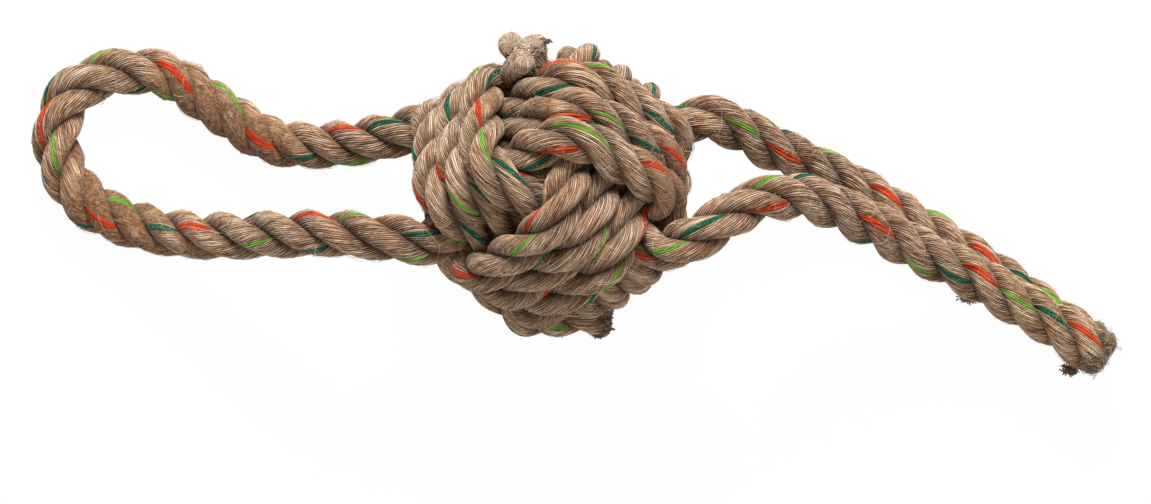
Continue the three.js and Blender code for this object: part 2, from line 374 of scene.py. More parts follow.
def seen_share(tree):
    """1 for rays from the camera, mirrors and glass, 0 for the rays that carry light."""
    rays = add(tree, "ShaderNodeLightPath").outputs
    plain = maths(tree, "MAXIMUM", rays["Is Camera Ray"], rays["Is Glossy Ray"])
    return maths(tree, "MAXIMUM", plain, rays["Is Transmission Ray"])


def make_world():
    """Soft warm light from all round, with white behind the toy."""
    world = bpy.data.worlds.new("studio")
    tree = emptied(world)
    soft = add(tree, "ShaderNodeBackground", {"Color": (0.68, 0.64, 0.59, 1), "Strength": 0.54})
    white = add(tree, "ShaderNodeBackground", {"Color": (1, 1, 1, 1)})
    mix = add(tree, "ShaderNodeMixShader", {
        0: seen_share(tree), 1: soft.outputs[0], 2: white.outputs[0]})
    add(tree, "ShaderNodeOutputWorld", {0: mix.outputs[0]})
    bpy.context.scene.world = world


def make_floor():
    """Paper that looks white and keeps the toy's soft shadow."""
    mesh = bpy.data.meshes.new("floor")
    wide = 4.0
    corners = [(-wide, -wide, 0), (wide, -wide, 0), (wide, wide, 0), (-wide, wide, 0)]
    mesh.from_pydata(corners, [], [(0, 1, 2, 3)])
    floor = bpy.data.objects.new("floor", mesh)
    bpy.context.scene.collection.objects.link(floor)
    paper = bpy.data.materials.new("white_paper")
    tree = emptied(paper)
    diffuse = add(tree, "ShaderNodeBsdfDiffuse", {"Color": (0.9, 0.9, 0.9, 1)})
    glow = add(tree, "ShaderNodeEmission", {"Color": (1, 1, 1, 1)})
    share = maths(tree, "MULTIPLY", seen_share(tree), 0.97)
    mix = add(tree, "ShaderNodeMixShader", {0: share, 1: diffuse.outputs[0], 2: glow.outputs[0]})
    add(tree, "ShaderNodeOutputMaterial", {0: mix.outputs[0]})
    mesh.materials.append(paper)


def softbox(name, place, size, power):
    """A square lamp that faces the toy."""
    light = bpy.data.lights.new(name, "AREA")
    light.size = size
    light.energy = power
    lamp = bpy.data.objects.new(name, light)
    lamp.location = place
    lamp.rotation_euler = (Vector((0, 0, 0.03)) - Vector(place)).to_track_quat("-Z", "Y").to_euler()
    bpy.context.scene.collection.objects.link(lamp)


make_world()
make_floor()
softbox("main_softbox", place=(0.02, 1.18, 1.0), size=0.6, power=36)
softbox("low_softbox", place=(0.4, -0.9, 0.95), size=0.9, power=6)


# Materials

def group(name, inputs, outputs):
    """A node group with named inputs (name: default) and outputs (name: kind), and what comes in."""
    tree = bpy.data.node_groups.new(name, "ShaderNodeTree")
    for label, default in inputs.items():
        kind = "NodeSocketColor" if isinstance(default, tuple) else "NodeSocketFloat"
        tree.interface.new_socket(label, in_out="INPUT", socket_type=kind).default_value = default
    for label, kind in outputs.items():
        tree.interface.new_socket(label, in_out="OUTPUT", socket_type="NodeSocket" + kind)
    return tree, add(tree, "NodeGroupInput").outputs


def spun_fibres():
    """Fibres along a yarn. The map's u counts yarns round the strand, and v yarn widths along it."""
    tree, inside = group("spun_fibres", {
        "Across": 1.4, "Along": 0.22, "Twist": 0.25, "Yarn contrast": 0.5},
        {"Fibre": "Float", "Yarn": "Float", "Height": "Float"})
    place = add(tree, "ShaderNodeUVMap", uv_map="lay")
    parts = add(tree, "ShaderNodeSeparateXYZ", {0: place.outputs[0]})
    u, v = parts.outputs["X"], parts.outputs["Y"]
    slanted = maths(tree, "ADD", u, maths(tree, "MULTIPLY", v, inside["Twist"]))
    stretched = add(tree, "ShaderNodeCombineXYZ", {
        "X": maths(tree, "MULTIPLY", slanted, inside["Across"]),
        "Y": maths(tree, "MULTIPLY", v, inside["Along"])})
    fibre = noise(tree, stretched.outputs[0], 1.0, detail=3.0, roughness=0.6)
    # Each yarn has its own shade, which changes slowly along it
    cell = add(tree, "ShaderNodeCombineXYZ", {
        "X": maths(tree, "MULTIPLY", maths(tree, "FLOOR", u), 7.31),
        "Y": maths(tree, "MULTIPLY", v, 0.05)})
    shade = ranged(tree, noise(tree, cell.outputs[0], 1.0), 0.3, 0.7)
    off_middle = maths(tree, "SUBTRACT", shade, 0.5)
    yarn = maths(tree, "ADD", 0.5, maths(tree, "MULTIPLY", off_middle, inside["Yarn contrast"]))
    add(tree, "NodeGroupOutput", {
        "Fibre": ranged(tree, fibre, 0.33, 0.67), "Yarn": yarn, "Height": fibre})
    return tree


def rubbed_felt():
    """Rubbed-up fibres: where they cover the yarns, and how light they are there."""
    tree, inside = group("rubbed_felt", {"Amount": 1.0, "Scale": 900.0},
                         {"Cover": "Float", "Shade": "Float"})
    rubbed = add(tree, "ShaderNodeAttribute", attribute_name="rubbed")
    spot = add(tree, "ShaderNodeTexCoord").outputs["Object"]
    edge = noise(tree, spot, 260.0, detail=3.0, roughness=0.6)
    covered = ranged(tree, maths(tree, "ADD", rubbed.outputs["Fac"], edge), 0.75, 1.15)
    clumps = noise(tree, spot, inside["Scale"], detail=4.0, roughness=0.7)
    add(tree, "NodeGroupOutput", {"Cover": maths(tree, "MULTIPLY", covered, inside["Amount"]),
                                  "Shade": ranged(tree, clumps, 0.32, 0.68)})
    return tree


def groove_shade_and_patches():
    """Painted shade in the grooves between strands and yarns, and darker in broad patches of random tone.
    """
    tree, inside = group("groove_shade_and_patches", {
        "Color": (0.5, 0.4, 0.3, 1), "Groove color": (0.1, 0.07, 0.04, 1), "Groove amount": 0.7,
        "Patch amount": 0.3, "Felt": 0.0}, {"Color": "Color"})
    groove = add(tree, "ShaderNodeAttribute", attribute_name="groove")
    spot = add(tree, "ShaderNodeTexCoord")
    patch = ranged(tree, noise(tree, spot.outputs["Object"], 45.0, detail=3.0), 0.4, 0.68)
    # The grooves take painted shade, less where felt fills them
    depth = maths(tree, "MULTIPLY", groove.outputs["Fac"],
                  maths(tree, "SUBTRACT", 1.0, maths(tree, "MULTIPLY", inside["Felt"], 0.6)))
    shading_and_patches = maths(tree, "ADD", maths(tree, "MULTIPLY", depth, inside["Groove amount"]),
                 maths(tree, "MULTIPLY", patch, inside["Patch amount"]), clamp=True)
    mix = add(tree, "ShaderNodeMix", {
        "Factor": shading_and_patches, "A": inside["Color"], "B": inside["Groove color"]}, data_type="RGBA")
    add(tree, "NodeGroupOutput", {"Color": mix.outputs["Result"]})
    return tree


def linear(red, green, blue):
    """A colour given in 0 to 255, as a shader takes it."""
    return tuple((c / 255 / 12.92) if c <= 10 else ((c / 255 + 0.055) / 1.055) ** 2.4
                 for c in (red, green, blue)) + (1,)


FIBRES = spun_fibres()
FELT = rubbed_felt()
GROOVE_SHADE_AND_PATCHES = groove_shade_and_patches()
FIBRE_CONTRAST = 0.8
FELT_LIGHTNESS = 0.33


def fibre_material(name, dark, mid, light, groove, groove_amount, patch_amount=0.3, sheen=0.25,
                   bump=0.12, yarn_contrast=0.5, rubbed=1.0):
    """Spun yarn: its fibres run from dark over mid to light, and the grooves take painted shade.
    bump is the depth of the fibres in mm, and rubbed is how much of the felt shows on it."""
    material = bpy.data.materials.new(name)
    tree = emptied(material)
    fibres = add(tree, "ShaderNodeGroup", {"Yarn contrast": yarn_contrast}, node_tree=FIBRES).outputs
    felt = add(tree, "ShaderNodeGroup", {"Amount": rubbed}, node_tree=FELT).outputs
    spun = maths(tree, "ADD", maths(tree, "MULTIPLY", fibres["Fibre"], FIBRE_CONTRAST),
                 maths(tree, "SUBTRACT", fibres["Yarn"], FIBRE_CONTRAST / 2), clamp=True)
    lightness = add(tree, "ShaderNodeMix", {
        "Factor": felt["Cover"], "A": spun,
        "B": maths(tree, "MULTIPLY", felt["Shade"], FELT_LIGHTNESS)}, data_type="FLOAT")
    ramp = add(tree, "ShaderNodeValToRGB", {0: lightness.outputs["Result"]})
    stops = ramp.color_ramp.elements
    stops[0].position, stops[0].color = 0.1, linear(*dark)
    stops[1].position, stops[1].color = 0.9, linear(*light)
    stops.new(0.5).color = linear(*mid)
    # Painted shade in the grooves, in the groove colour, and patches of random tone
    shading_and_patches = add(tree, "ShaderNodeGroup", node_tree=GROOVE_SHADE_AND_PATCHES, inputs={
        "Color": ramp.outputs[0], "Groove color": linear(*groove), "Groove amount": groove_amount,
        "Patch amount": patch_amount, "Felt": felt["Cover"]})
    height = add(tree, "ShaderNodeMix", {
        "Factor": felt["Cover"], "A": fibres["Height"], "B": felt["Shade"]}, data_type="FLOAT")
    raised = add(tree, "ShaderNodeBump", {
        "Strength": 0.6, "Distance": bump * MM, "Height": height.outputs["Result"]})
    shader = add(tree, "ShaderNodeBsdfPrincipled", {
        "Base Color": shading_and_patches.outputs["Color"], "Normal": raised.outputs[0], "Roughness": 0.9,
        "Sheen Weight": sheen, "Sheen Roughness": 0.5, "Specular IOR Level": 0.25})
    add(tree, "ShaderNodeOutputMaterial", {0: shader.outputs[0]})
    return material


def coloured_yarn(colour, dark, mid, light, groove):
    """A marker yarn: smoother than the hemp, and less mixed in shade."""
    return fibre_material(colour + "_yarn", dark, mid, light, groove, groove_amount=0.5,
                          patch_amount=0.15, sheen=0.05, yarn_contrast=0.35, rubbed=0.45)


# Each groove colour is the painted shade in that material's grooves
hemp = fibre_material("hemp", (110, 72, 42), (198, 158, 121), (250, 228, 202), groove=(68, 38, 17),
                      groove_amount=0.86, patch_amount=0.16, yarn_contrast=0.65)
pale_hemp = fibre_material("pale_hemp", (162, 130, 98), (226, 202, 174), (248, 236, 218),
                           groove=(96, 68, 46), groove_amount=0.85, patch_amount=0.1, rubbed=0.2)
cut_hemp = fibre_material("cut_hemp", (72, 50, 32), (110, 85, 61), (160, 130, 98), groove=(62, 42, 28),
                          groove_amount=0.4)
hair_fibre = fibre_material("hair_fibre", (140, 110, 82), (196, 166, 136), (240, 220, 194),
                            groove=(100, 76, 54), groove_amount=0.0)
felt_fibre = fibre_material("felt_fibre", (96, 68, 46), (144, 112, 84), (208, 178, 148),
                            groove=(70, 48, 32), groove_amount=0.0)
COLOURED = {
    "orange": coloured_yarn("orange", (136, 34, 6), (198, 60, 12), (230, 96, 34), groove=(84, 18, 6)),
    "green": coloured_yarn("green", (4, 52, 34), (8, 92, 64), (32, 128, 92), groove=(4, 26, 16)),
    "lime": coloured_yarn("lime", (60, 112, 26), (100, 168, 46), (144, 204, 84), groove=(46, 70, 20))}


# Rope pieces

def rubbed_at(verts):
    """How rubbed up the fibres are at each point: 1 near a rubbed place, 0 a quarter past its reach."""
    most = np.zeros(len(verts))
    for x, y, z, reach in FELT_AND_SHADE_SPOTS:
        apart = np.linalg.norm(verts - lying([x, y, z]), axis=1) / (reach * MM)
        most = np.maximum(most, np.clip(1.25 - apart, 0, 1))
    return most


def piece_from(name, verts, faces, materials):
    """A smooth mesh piece of the toy."""
    mesh = bpy.data.meshes.new(name)
    mesh.from_pydata(verts.tolist(), [], faces)
    for material in materials:
        mesh.materials.append(material)
    mesh.shade_smooth()
    piece = bpy.data.objects.new(name, mesh)
    bpy.context.scene.collection.objects.link(piece)
    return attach(piece, "root")


def set_values(mesh, name, values):
    """A number at each point, which the materials read by its name."""
    mesh.attributes.new(name, "FLOAT", "POINT").data.foreach_set("value", values.astype(np.float32))


def set_lay(mesh, lay):
    """The map that the fibres follow."""
    mesh.uv_layers.new(name="lay").data.foreach_set("uv", lay.astype(np.float32).ravel())


def ring_quads(rings, columns):
    """The side faces of a tube, ring by ring."""
    i = np.arange(rings - 1)[:, None] * columns
    j = np.arange(columns)[None, :]
    k = (j + 1) % columns
    return np.stack([i + j, i + k, i + columns + k, i + columns + j], axis=-1).reshape(-1, 4)


def tube_faces(rings, columns, first):
    """Faces of one closed tube of rings, with a flat end at either side."""
    quads = ring_quads(rings, columns) + first
    ends = [list(range(first + columns - 1, first - 1, -1)),
            list(range(first + (rings - 1) * columns, first + rings * columns))]
    return quads.tolist() + ends


def tube_lay(rings, columns, across, along):
    """The map of one tube, in the order of its faces. across is per column edge, along per ring."""
    i = np.arange(rings - 1)[:, None]
    j = np.arange(columns)[None, :]
    shape = (rings - 1, columns)
    u0, u1 = np.broadcast_to(across[j], shape), np.broadcast_to(across[j + 1], shape)
    v0, v1 = np.broadcast_to(along[i], shape), np.broadcast_to(along[i + 1], shape)
    quads = np.stack([u0, v0, u1, v0, u1, v1, u0, v1], axis=-1).reshape(-1, 2)
    back = np.stack([across[:-1][::-1], np.full(columns, along[0])], axis=-1)
    front = np.stack([across[:-1], np.full(columns, along[-1])], axis=-1)
    return np.vstack([quads, back, front])


def wander(rng, count, s, waves, size):
    """Slow random change along s, one row for each of count yarns."""
    total = np.zeros((len(s), count))
    for wave in waves:
        phase = rng.uniform(0, TURN, count)
        stretch = wave * rng.uniform(0.8, 1.25, count)
        total += np.sin(s[:, None] * TURN / stretch + phase)
    return total * size / len(waves)


def between(marks, s):
    """A value known at marks along the rope (mm, value), eased from one to the next."""
    places, values = np.array(marks).T
    slope_in = (values[1] - values[0]) / (places[1] - places[0])
    slope_out = (values[-1] - values[-2]) / (places[-1] - places[-2])
    far = 2000
    places = np.concatenate([[places[0] - far], places, [places[-1] + far]])
    values = np.concatenate([[values[0] - far * slope_in], values, [values[-1] + far * slope_out]])
    return np.mean([np.interp(s / MM + step, places, values) for step in (-6, -3, 0, 3, 6)], axis=0)


class Lay:
    """How a rope is laid, in turns at marks along it: its strands in it, and its yarns in each strand."""

    def __init__(self, turns, yarns, colours):
        self.turns, self.yarns, self.colours = turns, yarns, colours

    def turned(self, s, strand):
        return TURN * (between(self.turns, s) + strand / STRANDS)

    def spun(self, s, strand):
        return TURN * between(self.yarns[self.colours[strand]], s)


def strand_frame(way, lay, s, strand, offset):
    """The rope's middle, and the directions out to a strand and across it, square to the strand."""
    middle, forward, side, rise = way.at(s)
    angle = lay.turned(s, strand)[:, None]
    out = np.cos(angle) * side + np.sin(angle) * rise
    about = -np.sin(angle) * side + np.cos(angle) * rise
    step = 0.5 * MM
    rate = (lay.turned(s + step, strand) - lay.turned(s - step, strand)) / (2 * step)
    ahead = unit(forward + (offset * rate)[:, None] * about)
    return middle, out, unit(np.cross(ahead, out))


def on_floor(verts):
    """What would go through the floor lies flat on it."""
    low = 0.5 * MM
    lowest = 0.05 * MM
    z = verts[..., 2]
    verts[..., 2] = np.where(z < low, lowest + (low - lowest) * np.exp((z - low) / low), z)
    return verts


def above_floor(paths, lowest):
    """Paths with no point below the lowest height."""
    return np.maximum(paths, [-np.inf, -np.inf, lowest])


def strand_columns(wide, spun):
    """Where a strand's columns are round it, ring by ring: first its coloured yarn's plies, which are
    widest where that yarn comes up, and then the plain yarns."""
    wide = wide * (0.35 + 0.65 * np.clip(np.cos(spun), 0, 1) ** 0.6)
    coloured = (wide / (STRAND_RADIUS * ROPE))[:, None]
    ply_columns, plain_columns = YARN_COLUMNS * PLIES, YARN_COLUMNS * PLAIN_YARNS
    plies = np.arange(ply_columns)[None, :] / ply_columns * coloured - coloured / 2
    plain = np.arange(plain_columns)[None, :] / plain_columns * (TURN - coloured) + coloured / 2
    return np.hstack([plies, plain])


def ring_places(ends, blunt):
    """Where a strand's rings are along it, and how wide each is, up to 1. blunt is the length over which
    each end is rounded off, or 0. A tip's ring is small, but never a point."""
    first, last = ends[0] + blunt[0], ends[1] - blunt[1]
    rings = max(4, int(round((last - first) / RING_PITCH))) + 1
    s = np.linspace(first, last, rings)
    near = np.ones(rings)
    share = 1 - np.cos(np.linspace(0, math.pi / 2, 8))[:-1]
    if blunt[0]:
        s = np.concatenate([ends[0] + blunt[0] * share, s])
        near = np.concatenate([share, near])
    if blunt[1]:
        s = np.concatenate([s, ends[1] - blunt[1] * share[::-1]])
        near = np.concatenate([near, share[::-1]])
    return s, np.sqrt(np.clip(1 - (1 - near) ** 2, 0.006, 1))


def strand_mesh(way, lay, s, closed, strand, thickness, rng):
    """One strand as a tube of spun yarns: points, painted groove shade, and the map's edges across and
    along.
    """
    offset = STRAND_OFFSET * thickness
    middle, out, across = strand_frame(way, lay, s, strand, offset)
    centre = middle + offset[:, None] * out
    column = np.arange(COLUMNS)
    yarn = column // YARN_COLUMNS
    crown = np.array(YARN_CROWN)[column % YARN_COLUMNS] * YARN_DEPTH + np.where(yarn < PLIES, PLY_RISE, 0)
    swell = wander(rng, YARNS, s, *YARN_SWELL)[:, yarn]
    drift = wander(rng, YARNS, s, *YARN_DRIFT)[:, yarn]
    thick = 1 + wander(rng, 1, s, *STRAND_SWELL)
    spun = lay.spun(s, strand)
    angle = spun[:, None] + strand_columns(COLOURED_WIDTHS[lay.colours[strand]], spun) + drift
    ways_out = np.cos(angle)[..., None] * out[:, None, :] + np.sin(angle)[..., None] * across[:, None, :]
    radius = (STRAND_RADIUS * thickness)[:, None] * thick * closed[:, None]
    surface = centre[:, None, :] + radius[..., None] * ways_out
    unfelted = 1 - FELT_FILLS * rubbed_at(surface.reshape(-1, 3)).reshape(angle.shape)
    relief = crown * unfelted + swell
    verts = centre[:, None, :] + (radius + relief * closed[:, None])[..., None] * ways_out
    # Painted shade: darker the deeper a point lies between the strands, and in the grooves between yarns
    depth = 1 - np.linalg.norm(verts - middle[:, None, :], axis=-1) / (OUTSIDE * thickness)[:, None]
    between_strands = np.clip(depth * GROOVE_SLOPE - GROOVE_START, 0, 1)
    between_yarns = np.array(YARN_GROOVE)[column % YARN_COLUMNS] * unfelted
    groove = between_strands * np.where(closed > 0.99, 1, 0.3)[:, None] + between_yarns
    verts = on_floor(verts).reshape(-1, 3)
    return verts, np.clip(groove, 0, 1).ravel(), np.arange(COLUMNS + 1) / YARN_COLUMNS, s / YARN_WIDTH


def strands(name, way, lay, ends, thickness_at, chosen, seed, plain=hemp, blunt=(0, 0)):
    """A length of the rope's chosen strands, as one piece."""
    s, closed = ring_places(ends, blunt)
    on_plies = np.arange((len(s) - 1) * COLUMNS) % COLUMNS < YARN_COLUMNS * PLIES
    verts, faces, grooves, lays, looks = [], [], [], [], []
    for number, strand in enumerate(chosen):
        rng = np.random.default_rng(seed + strand)
        points, groove, across, along = strand_mesh(way, lay, s, closed, strand, thickness_at(s), rng)
        faces += tube_faces(len(s), COLUMNS, number * len(points))
        verts.append(points)
        grooves.append(groove)
        lays.append(tube_lay(len(s), COLUMNS, across, along))
        looks += [np.where(on_plies, number + 1, 0), [0, 0]]
    verts = np.vstack(verts)
    coloured = [COLOURED[lay.colours[strand]] for strand in chosen]
    piece = piece_from(name, verts, faces, [plain] + coloured)
    piece.data.polygons.foreach_set("material_index", np.concatenate(looks).astype(np.int32))
    set_values(piece.data, "groove", np.concatenate(grooves))
    set_lay(piece.data, np.vstack(lays))
    set_values(piece.data, "rubbed", rubbed_at(verts))
    return piece


def hair_mesh(paths, radii, sides):
    """Thin closed tubes along many paths at once. paths is (hairs, points, 3), radii (hairs, points)."""
    hairs, points, _ = paths.shape
    ahead = unit(np.gradient(paths, axis=1))
    pole = np.where(np.abs(ahead[..., 2:]) > 0.8, [[[1.0, 0, 0]]], [[[0, 0, 1.0]]])
    one = unit(np.cross(ahead, pole))
    two = np.cross(ahead, one)
    angle = (TURN * np.arange(sides) / sides)[None, None, :, None]
    ways_out = np.cos(angle) * one[:, :, None, :] + np.sin(angle) * two[:, :, None, :]
    verts = paths[:, :, None, :] + radii[:, :, None, None] * ways_out
    first = (np.arange(hairs) * points * sides)[:, None, None]
    faces = (ring_quads(points, sides)[None] + first).reshape(-1, 4).tolist()
    start = np.arange(sides)[::-1][None] + first[:, 0]
    end = np.arange(sides)[None] + (points - 1) * sides + first[:, 0]
    return verts.reshape(-1, 3), faces + start.tolist() + end.tolist()


def hair_piece(name, paths, radii, material, seed, sides=3, twisted=0.1):
    """A piece of many hairs or loose yarns. Each has its own spot of the map, so they differ in shade."""
    verts, faces = hair_mesh(paths, radii, sides)
    piece = piece_from(name, verts, faces, [material])
    loops = np.empty(len(piece.data.loops), np.int32)
    piece.data.loops.foreach_get("vertex_index", loops)
    per_hair = paths.shape[1] * sides
    hair, ring, spoke = loops // per_hair, loops % per_hair // sides, loops % sides
    spot = np.random.default_rng(seed).uniform(0, 400, (paths.shape[0], 2))[hair]
    set_lay(piece.data, np.floor(spot) + np.stack([spoke / sides, ring * twisted], axis=-1))
    return piece


def surface_radius(lay, s, angle, thickness):
    """How far the strands' surface is from the rope's middle, in one direction."""
    offset, radius = STRAND_OFFSET * thickness, STRAND_RADIUS * thickness
    reaches = []
    for strand in range(STRANDS):
        apart = angle - lay.turned(s, strand)
        beside = offset * np.sin(apart)
        reaches.append(offset * np.cos(apart) + np.sqrt(np.maximum(radius ** 2 - beside ** 2, 0)))
    return np.max(reaches, axis=0)


def fuzz_paths(way, lay, ends, thickness_at, rng, count, lengths, lifts, points, keep=None):
    """Hairs that come out of the strands, follow them loosely and lie down again: (hairs, points, 3).
    lengths and lifts are ranges in mm."""
    s0 = rng.uniform(ends[0], ends[1], count)
    angle = rng.uniform(0, TURN, count)
    if keep is not None:
        middle, _, side, rise = way.at(s0)
        good = keep(middle, np.cos(angle)[:, None] * side + np.sin(angle)[:, None] * rise)
        s0, angle = s0[good], angle[good]
    n = len(s0)
    length = rng.uniform(*lengths, n) * MM
    lift = rng.uniform(*lifts, n) * MM
    turn = rng.normal(0, 0.9, n)
    curl = rng.normal(0, 0.8, n)
    ahead = np.where(rng.random(n) < 0.5, 1, -1)
    t = np.linspace(0, 1, points)[None, :]
    heading = turn[:, None] + curl[:, None] * t
    thickness = thickness_at(s0)[:, None]
    along = np.clip(s0[:, None] + ahead[:, None] * length[:, None] * np.cos(heading) * t, *ends)
    around = angle[:, None] + length[:, None] * np.sin(heading) * t / (0.5 * thickness)
    thick = np.broadcast_to(thickness, along.shape)
    radius = surface_radius(lay, along.ravel(), around.ravel(), thick.ravel())
    root = 0.25 * MM
    height = -root + (root + lift[:, None]) * np.sin(math.pi * np.minimum(t * 0.85, 0.8))
    middle, forward, side, rise = way.at(along.ravel())
    a = around.ravel()[:, None]
    paths = middle + (radius + height.ravel())[:, None] * (np.cos(a) * side + np.sin(a) * rise)
    return above_floor(paths.reshape(n, points, 3), 0.04 * MM)


def fuzz(name, way, lay, ends, thickness_at, seed, short, long, keep=None, short_look=hair_fibre):
    """Fine short fuzz, and a few long stray fibres. short and long say how many."""
    rng = np.random.default_rng(seed)
    paths = fuzz_paths(way, lay, ends, thickness_at, rng, short, lengths=(1.2, 4), lifts=(-0.02, 0.3),
                       points=3, keep=keep)
    radii = np.broadcast_to(np.array([1, 0.8, 0.4]) * 0.045 * MM, paths.shape[:2])
    pieces = [hair_piece(name + "_fuzz", paths, radii, short_look, seed)]
    rng = np.random.default_rng(seed + 5)
    paths = fuzz_paths(way, lay, ends, thickness_at, rng, long, lengths=(6, 18), lifts=(0.1, 0.7),
                       points=10, keep=keep)
    radii = np.broadcast_to(np.linspace(1, 0.5, 10) * 0.075 * MM, paths.shape[:2])
    pieces.append(hair_piece(name + "_stray_fibres", paths, radii, hair_fibre, seed + 6))
    return pieces


def tip_headings(rng, ahead, count):
    """Directions out of a cut tip: any way but back into the rope."""
    some = unit(rng.normal(0, 1, (count, 3)) + 0.3 * ahead)
    return unit(some - 2 * ahead * np.minimum(some @ ahead.T + 0.3, 0))[:, None, :]


def matted_end(name, way, lay, at_end, thickness, inset, seed, material, bits, hairs, reach):
    """A cut end: its strands' tips are covered in short yarn ends and in felted fibres.
    reach is how far the yarn ends come out, in shares of a strand's radius."""
    rng = np.random.default_rng(seed)
    sign = 1 if at_end else -1
    s = np.array([way.length - inset - BLUNT if at_end else inset + BLUNT])
    size = STRAND_RADIUS * thickness
    root = 0.4
    bit_t = np.linspace(0, 1, 5)[None, :, None]
    hair_t = np.linspace(0, 1, 6)[None, :, None]
    yarns, fibres = [], []
    for strand, offset in ((0, STRAND_OFFSET), (1, STRAND_OFFSET), (2, STRAND_OFFSET), (0, 0.0)):
        middle, out, across = strand_frame(way, lay, s, strand, np.array([offset * thickness]))
        centre = (middle + offset * thickness * out)[:, None, :]
        ahead = sign * np.cross(out, across)
        some = tip_headings(rng, ahead, bits)
        bend = unit(rng.normal(0, 1, (bits, 1, 3))) * 0.35 * bit_t ** 2
        far = rng.uniform(0.95, reach, (bits, 1, 1))
        yarns.append(centre + size * (root + (far - root) * bit_t) * unit(some + bend))
        some = tip_headings(rng, ahead, hairs)
        over = np.cross(some, unit(rng.normal(0, 1, (hairs, 1, 3))))
        wide = rng.uniform(0.4, 1.5, (hairs, 1, 1))
        arch = rng.exponential(0.07, (hairs, 1, 1)) * np.sin(math.pi * hair_t)
        lift = arch + rng.uniform(0.97, 1.1, (hairs, 1, 1))
        fibres.append(centre + size * lift * unit(some + over * wide * hair_t))
    yarns = above_floor(np.vstack(yarns), 0.5 * MM)
    fibres = above_floor(np.vstack(fibres), 0.08 * MM)
    thin = rng.uniform(0.3, 0.45, (len(yarns), 1)) * MM * (1 - 0.3 * np.linspace(0, 1, 5) ** 3)
    fine = np.broadcast_to(np.array([0.6, 1, 1, 1, 0.8, 0.5]) * 0.055 * MM, fibres.shape[:2])
    darker, lighter = np.split(rng.permutation(len(fibres)), [3 * len(fibres) // 4])
    return [hair_piece(name + "_yarns", yarns, thin, material, seed, sides=7, twisted=2.2),
            hair_piece(name + "_fibres", fibres[darker], fine[darker], material, seed + 1),
            hair_piece(name + "_light_fibres", fibres[lighter], fine[lighter], hair_fibre, seed + 2)]


def tuft(name, place, size, seed, count=220, length=(0.8, 2.2)):
    """A small clump of pulled-out fibres. place is x and y from under the ball's centre and z, in mm."""
    rng = np.random.default_rng(seed)
    steps = 6
    t = np.linspace(0, 1, steps)[None, :, None]
    start = lying(np.array(place) + rng.normal(0, 0.5, (count, 3)) * size)
    heading = unit(rng.normal(0, 1, (count, 3)) * np.array(size))
    turn = rng.normal(0, 0.8, (count, 3))
    bent = heading[:, None, :] * (t - 0.5) + turn[:, None, :] * (t - 0.5) ** 2
    paths = start[:, None, :] + bent * rng.uniform(*length, (count, 1, 1)) * MM
    radii = rng.uniform(0.07, 0.2, (count, 1)) * MM * np.linspace(1, 0.6, steps)
    return hair_piece(name, above_floor(paths, 0.2 * MM), radii, cut_hemp, seed, sides=4, twisted=0.5)


# The handle rope

LAID = Lay(HANDLE_TURNS, HANDLE_YARNS, ("orange", "green", "lime"))


def handle_marks():
    """How thick the handle rope is at marks along it: splayed at its cut ends, full in the loop's bend,
    and squeezed where it goes into the ball."""
    ease, mouth, inside = 8 * MM, 3 * MM, 8 * MM
    marks = [(0, SPLAYED), (SPLAY, FREE), (handle.length - SPLAY, FREE), (handle.length, SPLAYED)]
    marks += [(290 * MM, FREE), (305 * MM, BENT), (345 * MM, BENT), (362 * MM, PAST_BEND)]
    for start, end in (UPPER_LEG_ENDS, LOWER_LEG_ENDS):
        marks += [(start - ease, FREE), (start + mouth, MOUTH), (start + inside, LEG),
                  (end - inside, LEG), (end - mouth, MOUTH), (end + ease, FREE)]
    return np.array(sorted(marks)).T


HANDLE_MARKS = handle_marks()


def handle_thickness(s):
    """How thick the handle rope is at places along it."""
    return np.interp(s, *HANDLE_MARKS)


def free_stretch(name, node, ends, seed, pieces_on_it, long, short=2200, cut=(False, False)):
    """A free length of the handle rope: its three strands and its fuzz. cut says which end is a cut one,
    and short and long say how many hairs it has."""
    shown = (ends[0] + CUT_INSET * cut[0], ends[1] - CUT_INSET * cut[1])
    rope = strands(name, handle, LAID, shown, handle_thickness, range(STRANDS), seed,
                   blunt=(BLUNT * cut[0], BLUNT * cut[1]))
    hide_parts(node)
    extras = fuzz(name, handle, LAID, ends, handle_thickness, seed + 7, short, long) + pieces_on_it
    path = handle.at(np.linspace(ends[0], ends[1], 120))[0]
    if cut[0]:
        path = path[::-1]


def rubbed_place(middle, out):
    """True where the rope is rubbed up."""
    return rubbed_at(middle + out * 0.5 * ROPE) > 0.35


def matted(name, ends, seed, short):
    """The thick fuzz of a free length's rubbed places."""
    return fuzz(name + "_matted", handle, LAID, ends, handle_thickness, seed, short, long=500,
                keep=rubbed_place, short_look=felt_fibre)


def tail_end(name, at_end, seed):
    """The matted cut end of one of the two tails."""
    return matted_end(name + "_end", handle, LAID, at_end, TAIL_TIP, CUT_INSET, seed, cut_hemp,
                      bits=50, hairs=350, reach=1.14)


